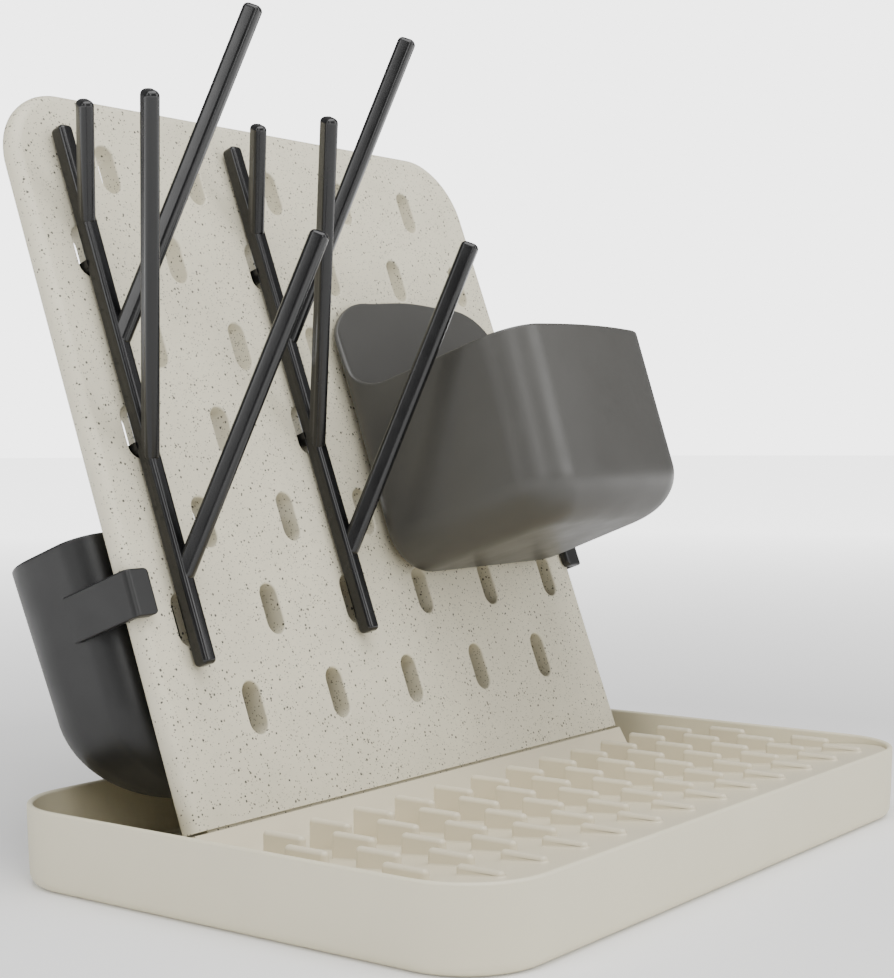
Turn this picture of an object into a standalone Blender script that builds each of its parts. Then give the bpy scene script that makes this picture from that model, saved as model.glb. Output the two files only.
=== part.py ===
"""A drying rack for baby bottles.

A shallow tray holds a lift-out ribbed draining floor. The floor's plinth has a slanted socket
for a leaning, slotted peg board. Two branching peg trees and a cup hook on the front of the
board, and a caddy hangs behind it on two side arms.

Metres, +Z up, +Y to the back, +X along the board. The origin is the middle of the tray's
underside. Everything on the board is modelled in the board's own frame: +X along it, +Z up its
face and +Y back through it, so a point in front of the face has a negative y.
"""

import bmesh
import bpy
from math import atan2, ceil, cos, pi, radians, sin, tan
from mathutils import Matrix, Vector

MM = 0.001

# ------------------------------------------------------------------ tray
TRAY_WIDTH = 336.6 * MM
TRAY_DEPTH = 235.0 * MM
TRAY_HEIGHT = 31.4 * MM
TRAY_CORNER = 32.8 * MM
TRAY_WALL = 2.5 * MM
TRAY_DRAFT = 1.0 * MM
TRAY_FOOT_EDGE = 5.0 * MM
RIM_EDGE = 0.8 * MM

FOOT_RADIUS = 7.0 * MM
FOOT_THICKNESS = 1.0 * MM
FOOT_X = 132.0 * MM
FOOT_Y = 82.0 * MM

GAP = 0.3 * MM

# ------------------------------------------------------------------ draining floor
FLOOR_SKIN = 2.5 * MM
FLOOR_Z_AT_ORIGIN = 19.26 * MM
FLOOR_SLOPE = 0.093
FLOOR_SIDE_GAP = 0.8 * MM
FLOOR_BACK = 22.0 * MM
SIDE_BAY_FRONT = 20.0 * MM
SKIRT_INSET = 4.0 * MM
SKIRT_WALL = 2.5 * MM
SKIRT_FOOT = 2.8 * MM
WEB_X = 54.0 * MM

RIB_TOP = 30.9 * MM
RIB_WIDTH = 3.8 * MM
RIB_LENGTH = 19.0 * MM
RIB_EDGE = 1.1 * MM
RIB_PITCH_X = 25.45 * MM
RIB_PITCH_Y = 21.5 * MM
RIB_FIRST_Y = -8.0 * MM
RIB_ROWS = 5
RIBS_IN_FULL_ROW = 13

PLINTH_HALF_WIDTH = 148.5 * MM
PLINTH_TOP_FRONT = (27.7 * MM, 26.4 * MM)
PLINTH_FACE_ANGLE = radians(59.2)
PLINTH_TOP_DEPTH = 17.5 * MM
PLINTH_BACK = 46.0 * MM

# ------------------------------------------------------------------ board
BOARD_LEAN = radians(20.38)
BOARD_ORIGIN = (0.0, 41.97 * MM, 66.18 * MM)
BOARD_WIDTH = 296.0 * MM
BOARD_TOP = 261.7 * MM
BOARD_FOOT = -41.2 * MM
BOARD_THICKNESS = 10.0 * MM
BOARD_EDGE = 4.5 * MM
BOARD_TOP_CORNER = 32.0 * MM

SLOT_LENGTH = 21.1 * MM
SLOT_WIDTH = 9.7 * MM
SLOT_PITCH = 50.0 * MM
ROW_PITCH = 38.2 * MM
ROWS = 7

TONGUE_WIDTH = 280.0 * MM
TONGUE_THICKNESS = 5.0 * MM
TONGUE_LENGTH = 14.0 * MM
SOCKET_CLEARANCE = 0.4 * MM
SOCKET_EXTRA_DEPTH = 1.8 * MM

# ------------------------------------------------------------------ hooks
HOOK_WIDTH = 7.6 * MM
HOOK_HEIGHT = 4.9 * MM
HOOK_REACH = 4.6 * MM
HOOK_SEAT_GAP = 0.3 * MM

# ------------------------------------------------------------------ peg trees
TREE_X = (-125.0 * MM, -25.0 * MM)
TREE_RISE = (0.0, 3.5 * MM)
STEM_WIDTH = 6.6 * MM
STEM_DEPTH = 7.4 * MM
STEM_AXIS_Y = -4.6 * MM
STEM_FOOT = 18.5 * MM
STEM_TOP = 242.6 * MM
PEG_WIDTH = 5.4 * MM
PEG_DEPTH = 7.8 * MM
PEG_EDGE = 1.7 * MM
PEG_DIRECTION = (0.257, -0.578, 0.774)
PEG_LONG = 142.8 * MM
PEG_SHORT = 49.0 * MM
# height of each peg's root on the stem, side (+1 right, -1 left) and length
PEGS = (
    (53.3 * MM, 1, PEG_LONG),
    (101.7 * MM, -1, PEG_LONG),
    (149.9 * MM, 1, PEG_LONG),
    (200.9 * MM, -1, PEG_SHORT),
)
TREE_HOOK_ROWS = (3, 5)

# ------------------------------------------------------------------ front cup
CUP_X = 71.4 * MM
CUP_HALF_WIDTH = 65.6 * MM
CUP_FRONT_HALF_WIDTH = 55.5 * MM
CUP_BACK_CORNER = 7.0 * MM
CUP_FRONT_CORNER = 21.5 * MM
CUP_BOW_RADIUS = 330.0 * MM
CUP_BACK_Y = -3.0 * MM
CUP_FRONT_Y = -91.5 * MM
CUP_BOW_Y = -96.8 * MM
CUP_FOOT = 44.5 * MM
CUP_RIM = 128.5 * MM
CUP_TOP = 177.0 * MM
CUP_FOOT_EDGE = 20.7 * MM
CUP_BACK_FOOT_EDGE = 3.6 * MM
CUP_SIDE_FLARE = 1.9 * MM
CUP_FRONT_TAPER = 3.7 * MM
CUP_WALL = 2.5 * MM
CUP_SWEEP = 20.3 * MM
CUP_PANEL_CORNER = 32.5 * MM
CUP_PANEL_CROWN = 1.8 * MM
CUP_HOOK_ROW = 4
CUP_HOOK_X = (50.0 * MM, 100.0 * MM)
CUP_REST_Z = (64.0 * MM, 72.0 * MM)
CUP_REST_HALF_WIDTH = 12.0 * MM

# ------------------------------------------------------------------ rear caddy
CADDY_HALF_WIDTH = 151.5 * MM
CADDY_FRONT_Y = 15.5 * MM
CADDY_BACK_Y = 76.0 * MM
CADDY_RIM = 79.5 * MM
CADDY_FOOT = -27.0 * MM
CADDY_FOOT_EDGE = 45.0 * MM
CADDY_FRONT_FOOT_EDGE = 8.0 * MM
CADDY_TAPER = 2.5 * MM
CADDY_WALL = 2.5 * MM
CADDY_BACK_CORNER = 28.0 * MM
CADDY_FRONT_CORNER = 14.0 * MM
ARM_Z = (40.5 * MM, 59.0 * MM)
ARM_OUTER_X = 153.0 * MM
ARM_INNER_X = 149.4 * MM
ARM_LIP_X = 140.9 * MM
ARM_FRONT_Y = -4.3 * MM
ARM_BACK_Y = 32.0 * MM
ARM_CORNER = 4.5 * MM
CADDY_REST_X = 75.0 * MM
CADDY_REST_WIDTH = 8.0 * MM
CADDY_REST_Z = (-8.0 * MM, 32.0 * MM)

ARC_STEP = radians(18)


# ------------------------------------------------------------------ scene and materials
def clear_scene():
    for item in list(bpy.data.objects):
        bpy.data.objects.remove(item, do_unlink=True)


def new_collection(name):
    group = bpy.data.collections.new(name)
    bpy.context.scene.collection.children.link(group)
    return group


def linear(channel):
    """One channel from 0-255 display values to linear light."""
    value = channel / 255
    return value / 12.92 if value <= 0.04045 else ((value + 0.055) / 1.055) ** 2.4


def plastic(name, colour, roughness):
    surface = bpy.data.materials.new(name)
    surface.use_nodes = True
    shader = surface.node_tree.nodes["Principled BSDF"]
    shader.inputs["Base Color"].default_value = (*[linear(c) for c in colour], 1)
    shader.inputs["Roughness"].default_value = roughness
    shader.inputs["Metallic"].default_value = 0
    return surface


clear_scene()
parts = new_collection("bottle_drying_rack")
cutters = new_collection("cutters")

board_frame = bpy.data.objects.new("board_frame", None)
board_frame.location = BOARD_ORIGIN
board_frame.rotation_euler = (-BOARD_LEAN, 0, 0)
parts.objects.link(board_frame)


# ------------------------------------------------------------------ modelling helpers
def place(name, mesh, group, parent=None):
    item = bpy.data.objects.new(name, mesh)
    group.objects.link(item)
    item.parent = parent
    return item


def finish_mesh(name, bm):
    bmesh.ops.recalc_face_normals(bm, faces=bm.faces)
    mesh = bpy.data.meshes.new(name)
    bm.to_mesh(mesh)
    bm.free()
    return mesh


def add_part(name, mesh, surface, parent=None):
    item = place(name, mesh, parts, parent)
    mesh.materials.append(surface)
    mesh.shade_smooth()
    mesh.set_sharp_from_angle(angle=radians(35))
    return item


def add_cutter(name, mesh, parent=None):
    item = place(name, mesh, cutters, parent)
    item.hide_render = True
    item.display_type = "WIRE"
    return item


def boolean(item, cutter, operation):
    step = item.modifiers.new(cutter.name, "BOOLEAN")
    step.operation = operation
    step.solver = "EXACT"
    step.object = cutter


def rounded(corners):
    """An outline with each corner (x, y, radius) turned into an arc."""
    outline = []
    count = len(corners)
    for i, (x, y, radius) in enumerate(corners):
        here = Vector((x, y))
        before = (Vector(corners[i - 1][:2]) - here).normalized()
        after = (Vector(corners[(i + 1) % count][:2]) - here).normalized()
        if radius == 0:
            outline.append((x, y))
            continue
        inside = before.angle(after)
        centre = here + (before + after).normalized() * radius / sin(inside / 2)
        start = here + before * radius / tan(inside / 2) - centre
        end = here + after * radius / tan(inside / 2) - centre
        turn = (atan2(end.y, end.x) - atan2(start.y, start.x) + pi) % (2 * pi) - pi
        steps = max(2, ceil(abs(turn) / ARC_STEP))
        for k in range(steps + 1):
            angle = atan2(start.y, start.x) + turn * k / steps
            outline.append((centre.x + radius * cos(angle), centre.y + radius * sin(angle)))
    return outline


def arc(centre, radius, start, end, steps):
    """Points along an arc from one angle to another, in degrees."""
    angles = [radians(start + (end - start) * k / steps) for k in range(steps + 1)]
    return [(centre[0] + radius * cos(a), centre[1] + radius * sin(a)) for a in angles]


def slab(name, outlines, low, high, edge=0.0):
    """Flat outlines in X and Y as one mesh, solid from z = low to z = high, as filled curves."""
    curve = bpy.data.curves.new(name, "CURVE")
    curve.dimensions = "2D"
    curve.fill_mode = "BOTH"
    curve.extrude = (high - low) / 2 - edge
    curve.bevel_depth = edge
    curve.bevel_resolution = 2
    curve.offset = -edge
    for outline in outlines:
        spline = curve.splines.new("POLY")
        spline.points.add(len(outline) - 1)
        for point, (x, y) in zip(spline.points, outline):
            point.co = (x, y, 0, 1)
        spline.use_cyclic_u = True
    item = place(name, curve, cutters)
    evaluated = item.evaluated_get(bpy.context.evaluated_depsgraph_get())
    mesh = bpy.data.meshes.new_from_object(evaluated)
    bpy.data.objects.remove(item, do_unlink=True)
    bm = bmesh.new()
    bm.from_mesh(mesh)
    bmesh.ops.remove_doubles(bm, verts=bm.verts, dist=1e-6)
    bmesh.ops.translate(bm, vec=(0, 0, (high + low) / 2), verts=bm.verts)
    bmesh.ops.recalc_face_normals(bm, faces=bm.faces)
    bm.to_mesh(mesh)
    bm.free()
    mesh.materials.clear()
    mesh.name = name
    return mesh


# turns a slab so that its outline stands in the X-Z plane and its thickness runs to the front
STAND_UP = Matrix.Rotation(pi / 2, 4, "X")
# turns a slab so that its outline (y, z) stands in the Y-Z plane and its thickness runs along X
SIDE_ON = Matrix(((0, 0, 1, 0), (1, 0, 0, 0), (0, 1, 0, 0), (0, 0, 0, 1)))


def turned(mesh, matrix):
    mesh.transform(matrix)
    return mesh


def box_mesh(name, low, high):
    bm = bmesh.new()
    add_box(bm, low, high)
    return finish_mesh(name, bm)


def add_box(bm, low, high):
    made = bmesh.ops.create_cube(bm, size=1)["verts"]
    size = Vector(high) - Vector(low)
    bmesh.ops.scale(bm, vec=size, verts=made)
    bmesh.ops.translate(bm, vec=(Vector(high) + Vector(low)) / 2, verts=made)


def add_capsule(bm, matrix, width, length, height, steps, edge=0.0):
    """A round-ended prism standing on Z, its long axis on Y, with a chamfered top edge."""
    radius = width / 2
    reach = length / 2 - radius
    outline = arc((0, reach), radius, 0, 180, steps) + arc((0, -reach), radius, 180, 360, steps)
    face = bm.faces.new([bm.verts.new((x, y, 0)) for x, y in outline])
    every = list(face.verts)
    raised = bmesh.ops.extrude_face_region(bm, geom=[face])["geom"]
    top = [v for v in raised if isinstance(v, bmesh.types.BMVert)]
    every += top
    bmesh.ops.translate(bm, vec=(0, 0, height - edge), verts=top)
    if edge:
        lid = next(f for f in raised if isinstance(f, bmesh.types.BMFace))
        raised = bmesh.ops.extrude_face_region(bm, geom=[lid])["geom"]
        bmesh.ops.delete(bm, geom=[lid], context="FACES_ONLY")
        top = [v for v in raised if isinstance(v, bmesh.types.BMVert)]
        every += top
        bmesh.ops.translate(bm, vec=(0, 0, edge), verts=top)
        shrink = ((radius - edge) / radius, (length / 2 - edge) / (length / 2), 1)
        bmesh.ops.scale(bm, vec=shrink, verts=top)
    bmesh.ops.transform(bm, matrix=matrix, verts=every)


def add_hook(bm, x, slot_foot, front_y):
    """A neck through a slot, then a lip that goes down and back at 45 degrees behind the board."""
    radius = HOOK_WIDTH / 2
    foot = slot_foot + HOOK_SEAT_GAP
    outline = arc((x, foot + radius), radius, 180, 360, 8)
    outline += [(x + radius, foot + HOOK_HEIGHT), (x - radius, foot + HOOK_HEIGHT)]
    face = bm.faces.new([bm.verts.new((px, front_y, pz)) for px, pz in outline])
    depth = BOARD_THICKNESS + HOOK_SEAT_GAP - front_y
    for step in ((0, depth, 0), (0, HOOK_REACH, -HOOK_REACH)):
        raised = bmesh.ops.extrude_face_region(bm, geom=[face])["geom"]
        if len(face.verts[0].link_edges) > 3:
            bmesh.ops.delete(bm, geom=[face], context="FACES_ONLY")
        ends = [v for v in raised if isinstance(v, bmesh.types.BMVert)]
        bmesh.ops.translate(bm, vec=step, verts=ends)
        face = next(f for f in raised if isinstance(f, bmesh.types.BMFace))


def add_stick(bm, start, end, width, depth, edge):
    """A bar of rounded rectangular section between two points."""
    start, end = Vector(start), Vector(end)
    stick = bmesh.new()
    bmesh.ops.create_cube(stick, size=1)
    bmesh.ops.scale(stick, vec=(width, depth, (end - start).length), verts=stick.verts)
    bmesh.ops.bevel(
        stick, geom=stick.edges, offset=edge, segments=2, profile=0.5, affect="EDGES")
    turn = (end - start).to_track_quat("Z", "Y").to_matrix().to_4x4()
    bmesh.ops.transform(
        stick, matrix=Matrix.Translation((start + end) / 2) @ turn, verts=stick.verts)
    mesh = bpy.data.meshes.new("stick")
    stick.to_mesh(mesh)
    stick.free()
    bm.from_mesh(mesh)
    bpy.data.meshes.remove(mesh)


def tub_skin(name, plan, levels):
    """An open-topped skin lofted through one plan outline at several levels.

    The plan runs from -1 to 1 across and from 0 (front) to 1 (back). Each level gives the
    height, the half width, and the front and back y.
    """
    bm = bmesh.new()
    rings = []
    for z, half_width, front, back in levels:
        rings.append([bm.verts.new((half_width * x, front + (back - front) * y, z)) for x, y in plan])
    for lower, upper in zip(rings, rings[1:]):
        for i in range(len(plan)):
            bm.faces.new((lower[i - 1], lower[i], upper[i], upper[i - 1]))
    bm.faces.new(list(reversed(rings[0])))
    return finish_mesh(name, bm)


def thicken(item, wall):
    shell = item.modifiers.new("wall", "SOLIDIFY")
    shell.thickness = wall
    shell.offset = -1
    shell.use_even_offset = True


def slot_centres():
    """The board's slots: rows of five on whole pitches, rows of six on half pitches."""
    for row in range(ROWS):
        count = 5 if row % 2 == 0 else 6
        for i in range(count):
            yield (i - (count - 1) / 2) * SLOT_PITCH, row * ROW_PITCH


def slot_foot(row):
    return row * ROW_PITCH - SLOT_LENGTH / 2


def floor_height(y):
    return FLOOR_Z_AT_ORIGIN - FLOOR_SLOPE * y


# ------------------------------------------------------------------ tray and feet
def foot_centres():
    return [(sx * FOOT_X, sy * FOOT_Y) for sy in (-1, 1) for sx in (-1, 1)]


def build_tray(surface):
    bm = bmesh.new()
    add_box(bm, (-TRAY_WIDTH / 2, -TRAY_DEPTH / 2, 0), (TRAY_WIDTH / 2, TRAY_DEPTH / 2, TRAY_HEIGHT))
    for vert in bm.verts:
        if vert.co.z < TRAY_HEIGHT / 2:
            vert.co.x -= TRAY_DRAFT * (1 if vert.co.x > 0 else -1)
            vert.co.y -= TRAY_DRAFT * (1 if vert.co.y > 0 else -1)
    upright = [e for e in bm.edges if abs(e.verts[0].co.z - e.verts[1].co.z) > TRAY_HEIGHT / 2]
    bmesh.ops.bevel(
        bm, geom=upright, offset=TRAY_CORNER, segments=8, profile=0.5, affect="EDGES")
    base = [e for e in bm.edges if max(v.co.z for v in e.verts) < TRAY_HEIGHT / 4]
    bmesh.ops.bevel(
        bm, geom=base, offset=TRAY_FOOT_EDGE, segments=3, profile=0.5, affect="EDGES")
    lid = [f for f in bm.faces if f.normal.z > 0.9]
    bmesh.ops.delete(bm, geom=lid, context="FACES_ONLY")
    tray = add_part("drip_tray", finish_mesh("drip_tray", bm), surface)
    thicken(tray, TRAY_WALL)
    rim = tray.modifiers.new("rim", "BEVEL")
    rim.width = RIM_EDGE
    rim.segments = 2
    rim.limit_method = "ANGLE"
    rim.angle_limit = radians(60)
    pockets = bmesh.new()
    for x, y in foot_centres():
        depth = FOOT_THICKNESS + GAP
        bmesh.ops.create_cone(
            pockets, cap_ends=True, segments=20, radius1=FOOT_RADIUS + GAP,
            radius2=FOOT_RADIUS + GAP, depth=2 * depth, matrix=Matrix.Translation((x, y, 0)))
    boolean(tray, add_cutter("foot_pockets", finish_mesh("foot_pockets", pockets)), "DIFFERENCE")


def build_feet(surface):
    for i, (x, y) in enumerate(foot_centres()):
        bm = bmesh.new()
        bmesh.ops.create_cone(
            bm, cap_ends=True, segments=20, radius1=FOOT_RADIUS, radius2=FOOT_RADIUS,
            depth=FOOT_THICKNESS, matrix=Matrix.Translation((0, 0, FOOT_THICKNESS / 2)))
        name = f"foot_{i + 1}"
        foot = add_part(name, finish_mesh(name, bm), surface)
        foot.location = (x, y, 0)


# ------------------------------------------------------------------ draining floor
def floor_plan(inset, back):
    """The floor's plan: rounded front corners, straight sides and a straight back."""
    half = TRAY_WIDTH / 2 - TRAY_WALL - FLOOR_SIDE_GAP - inset
    front = -TRAY_DEPTH / 2 + TRAY_WALL + FLOOR_SIDE_GAP + inset
    corner = TRAY_CORNER - TRAY_WALL - FLOOR_SIDE_GAP - inset
    return half, front, corner, back


def build_insert(surface):
    # a frame of skirt walls and two webs, open above and below
    half, front, corner, back = floor_plan(SKIRT_INSET, SIDE_BAY_FRONT - SKIRT_INSET)
    outline = rounded([(-half, front, corner), (half, front, corner), (half, back, 0), (-half, back, 0)])
    frame = slab("drain_insert", [outline], SKIRT_FOOT, 2 * SKIRT_FOOT)
    for vert in frame.vertices:
        if vert.co.z > 1.5 * SKIRT_FOOT:
            vert.co.z = floor_height(vert.co.y) - FLOOR_SKIN / 2
    insert = add_part("drain_insert", frame, surface)
    bays = bmesh.new()
    edges = (-half, -WEB_X, WEB_X, half)
    for i, (left, right) in enumerate(zip(edges, edges[1:])):
        near = front + (SKIRT_WALL if i == 1 else corner)
        low = (left + (SKIRT_WALL if i == 0 else SKIRT_WALL / 2), near, 0)
        high = (right - (SKIRT_WALL if i == 2 else SKIRT_WALL / 2), back - SKIRT_WALL, 2 * TRAY_HEIGHT)
        add_box(bays, low, high)
    boolean(insert, add_cutter("floor_bays", finish_mesh("floor_bays", bays)), "DIFFERENCE")

    # the sloping skin, narrower where it meets the plinth
    half, front, corner, back = floor_plan(0, SIDE_BAY_FRONT)
    outline = rounded([
        (-half, front, corner), (half, front, corner), (half, back, 0), (PLINTH_HALF_WIDTH, back, 0),
        (PLINTH_HALF_WIDTH, FLOOR_BACK, 0), (-PLINTH_HALF_WIDTH, FLOOR_BACK, 0),
        (-PLINTH_HALF_WIDTH, back, 0), (-half, back, 0)])
    skin = slab("floor_skin", [outline], -FLOOR_SKIN, 0)
    for vert in skin.vertices:
        vert.co.z += floor_height(vert.co.y)
    boolean(insert, add_cutter("floor_skin", skin), "UNION")

    # the plinth under the board, its top square to the board's face
    top_y, top_z = PLINTH_TOP_FRONT
    toe_z = floor_height(FLOOR_BACK) - FLOOR_SKIN / 2
    toe_y = top_y - (top_z - toe_z) / tan(PLINTH_FACE_ANGLE)
    heel_y = top_y + PLINTH_TOP_DEPTH * cos(BOARD_LEAN)
    heel_z = top_z - PLINTH_TOP_DEPTH * sin(BOARD_LEAN)
    start_y = SIDE_BAY_FRONT - 1.5 * SKIRT_INSET
    outline = [
        (start_y, SKIRT_FOOT), (PLINTH_BACK, SKIRT_FOOT), (PLINTH_BACK, heel_z - (PLINTH_BACK - heel_y)),
        (heel_y, heel_z), (top_y, top_z), (toe_y, toe_z), (start_y, toe_z)]
    plinth = slab("plinth", [outline], -PLINTH_HALF_WIDTH, PLINTH_HALF_WIDTH)
    boolean(insert, add_cutter("plinth", turned(plinth, SIDE_ON)), "UNION")

    half_width = TONGUE_WIDTH / 2 + SOCKET_CLEARANCE
    middle = BOARD_THICKNESS / 2
    half_depth = TONGUE_THICKNESS / 2 + SOCKET_CLEARANCE
    bottom = BOARD_FOOT - TONGUE_LENGTH - SOCKET_EXTRA_DEPTH
    socket = box_mesh(
        "board_socket", (-half_width, middle - half_depth, bottom),
        (half_width, middle + half_depth, BOARD_FOOT + SOCKET_EXTRA_DEPTH))
    boolean(insert, add_cutter("board_socket", socket, board_frame), "DIFFERENCE")

    # rows of ribs, every other row shifted by half a pitch; their tops are level
    ribs = bmesh.new()
    for row in range(RIB_ROWS):
        count = RIBS_IN_FULL_ROW - (row + 1) % 2
        y = RIB_FIRST_Y - row * RIB_PITCH_Y
        foot = floor_height(y + RIB_LENGTH / 2) - FLOOR_SKIN / 2
        for i in range(count):
            x = (i - (count - 1) / 2) * RIB_PITCH_X
            add_capsule(
                ribs, Matrix.Translation((x, y, foot)), RIB_WIDTH, RIB_LENGTH, RIB_TOP - foot, 2, RIB_EDGE)
    boolean(insert, add_cutter("ribs", finish_mesh("ribs", ribs)), "UNION")


# ------------------------------------------------------------------ board
def build_board(surface):
    half = BOARD_WIDTH / 2
    overrun = BOARD_FOOT - 4 * BOARD_EDGE
    outline = rounded([
        (-half, overrun, 0), (half, overrun, 0),
        (half, BOARD_TOP, BOARD_TOP_CORNER), (-half, BOARD_TOP, BOARD_TOP_CORNER)])
    sheet = slab("pegboard", [outline], -BOARD_THICKNESS, 0, BOARD_EDGE)
    board = add_part("pegboard", turned(sheet, STAND_UP), surface, board_frame)

    square_off = box_mesh(
        "board_foot_cut", (-BOARD_WIDTH, -BOARD_THICKNESS, 2 * overrun),
        (BOARD_WIDTH, 2 * BOARD_THICKNESS, BOARD_FOOT))
    boolean(board, add_cutter("board_foot_cut", square_off, board_frame), "DIFFERENCE")

    middle = BOARD_THICKNESS / 2
    tongue = box_mesh(
        "board_tongue",
        (-TONGUE_WIDTH / 2, middle - TONGUE_THICKNESS / 2, BOARD_FOOT - TONGUE_LENGTH),
        (TONGUE_WIDTH / 2, middle + TONGUE_THICKNESS / 2, BOARD_FOOT + BOARD_THICKNESS / 4))
    boolean(board, add_cutter("board_tongue", tongue, board_frame), "UNION")

    slots = bmesh.new()
    for x, z in slot_centres():
        stand = Matrix.Translation((x, 2 * BOARD_THICKNESS, z)) @ STAND_UP
        add_capsule(slots, stand, SLOT_WIDTH, SLOT_LENGTH, 3 * BOARD_THICKNESS, 5)
    boolean(board, add_cutter("slots", finish_mesh("slots", slots), board_frame), "DIFFERENCE")


# ------------------------------------------------------------------ peg trees
def build_tree(name, x, rise, surface):
    stem = bmesh.new()
    add_stick(
        stem, (x, STEM_AXIS_Y, STEM_FOOT + rise), (x, STEM_AXIS_Y, STEM_TOP + rise),
        STEM_WIDTH, STEM_DEPTH, PEG_EDGE)
    tree = add_part(name, finish_mesh(name, stem), surface, board_frame)

    pegs = bmesh.new()
    for root, side, length in PEGS:
        start = Vector((x, STEM_AXIS_Y, root + rise))
        reach = Vector((side * PEG_DIRECTION[0], PEG_DIRECTION[1], PEG_DIRECTION[2])) * length
        add_stick(pegs, start, start + reach, PEG_WIDTH, PEG_DEPTH, PEG_EDGE)
    boolean(tree, add_cutter(f"{name}_pegs", finish_mesh(f"{name}_pegs", pegs), board_frame), "UNION")

    hooks = bmesh.new()
    for row in TREE_HOOK_ROWS:
        add_hook(hooks, x, slot_foot(row) + rise, STEM_AXIS_Y + STEM_DEPTH / 4)
    boolean(tree, add_cutter(f"{name}_hooks", finish_mesh(f"{name}_hooks", hooks), board_frame), "UNION")


# ------------------------------------------------------------------ front cup
def edge_levels(foot, edge, steps):
    """Height and inset up a rounded foot edge."""
    for k in range(steps + 1):
        angle = pi / 2 * k / steps
        yield foot + edge * (1 - cos(angle)), edge * (1 - sin(angle))


def build_cup(surface):
    depth = CUP_BACK_Y - CUP_BOW_Y
    corners = [
        (-CUP_HALF_WIDTH, 0, CUP_BACK_CORNER), (CUP_HALF_WIDTH, 0, CUP_BACK_CORNER),
        (CUP_FRONT_HALF_WIDTH, CUP_BACK_Y - CUP_FRONT_Y, CUP_FRONT_CORNER), (0, depth, CUP_BOW_RADIUS),
        (-CUP_FRONT_HALF_WIDTH, CUP_BACK_Y - CUP_FRONT_Y, CUP_FRONT_CORNER)]
    plan = [(x / CUP_HALF_WIDTH, y / depth) for x, y in rounded(corners)]
    levels = []
    for z, inset in edge_levels(CUP_FOOT, CUP_FOOT_EDGE, 6):
        back = CUP_BACK_Y - inset * CUP_BACK_FOOT_EDGE / CUP_FOOT_EDGE
        levels.append((z, CUP_HALF_WIDTH + CUP_SIDE_FLARE - inset, back, CUP_BOW_Y + CUP_FRONT_TAPER + inset))
    levels.append((CUP_RIM, CUP_HALF_WIDTH, CUP_BACK_Y, CUP_BOW_Y))
    levels.append((CUP_TOP + 10 * MM, CUP_HALF_WIDTH, CUP_BACK_Y, CUP_BOW_Y))
    cup = add_part("front_cup", tub_skin("front_cup", plan, levels), surface, board_frame)
    cup.location.x = CUP_X
    thicken(cup, CUP_WALL)

    # cuts the rim level, and sweeps it up into the back panel
    panel_front = CUP_BACK_Y - CUP_WALL
    far = 1.3 * CUP_BOW_Y
    high = CUP_TOP + 30 * MM
    centre = (panel_front - CUP_SWEEP, CUP_RIM + CUP_SWEEP)
    outline = [(far, high), (far, CUP_RIM)] + arc(centre, CUP_SWEEP, -90, 0, 6) + [(panel_front, high)]
    rim = slab("cup_rim_cut", [outline], -2 * CUP_HALF_WIDTH, 2 * CUP_HALF_WIDTH)
    rim_cut = add_cutter("cup_rim_cut", turned(rim, SIDE_ON), board_frame)
    rim_cut.location.x = CUP_X
    boolean(cup, rim_cut, "DIFFERENCE")

    # rounds the top corners of the back panel
    corner = CUP_PANEL_CORNER
    outer = CUP_HALF_WIDTH + 0.2 * MM
    side = 1.5 * CUP_HALF_WIDTH
    low = CUP_TOP - CUP_PANEL_CROWN - corner
    outline = [(side, high), (-side, high), (-side, low)]
    outline += arc((-outer + corner, low), corner, 180, 90, 6)
    outline += [(0, CUP_TOP)]
    outline += arc((outer - corner, low), corner, 90, 0, 6)
    outline += [(side, low)]
    top = slab("cup_panel_cut", [outline], -20 * MM, 20 * MM)
    top_cut = add_cutter("cup_panel_cut", turned(top, STAND_UP), board_frame)
    top_cut.location.x = CUP_X
    boolean(cup, top_cut, "DIFFERENCE")

    fittings = bmesh.new()
    for x in CUP_HOOK_X:
        add_hook(fittings, x, slot_foot(CUP_HOOK_ROW), CUP_BACK_Y - CUP_WALL / 2)
    add_box(
        fittings, (CUP_X - CUP_REST_HALF_WIDTH, CUP_BACK_Y - CUP_WALL / 2, CUP_REST_Z[0]),
        (CUP_X + CUP_REST_HALF_WIDTH, -GAP, CUP_REST_Z[1]))
    mesh = finish_mesh("cup_fittings", fittings)
    boolean(cup, add_cutter("cup_fittings", mesh, board_frame), "UNION")


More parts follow.
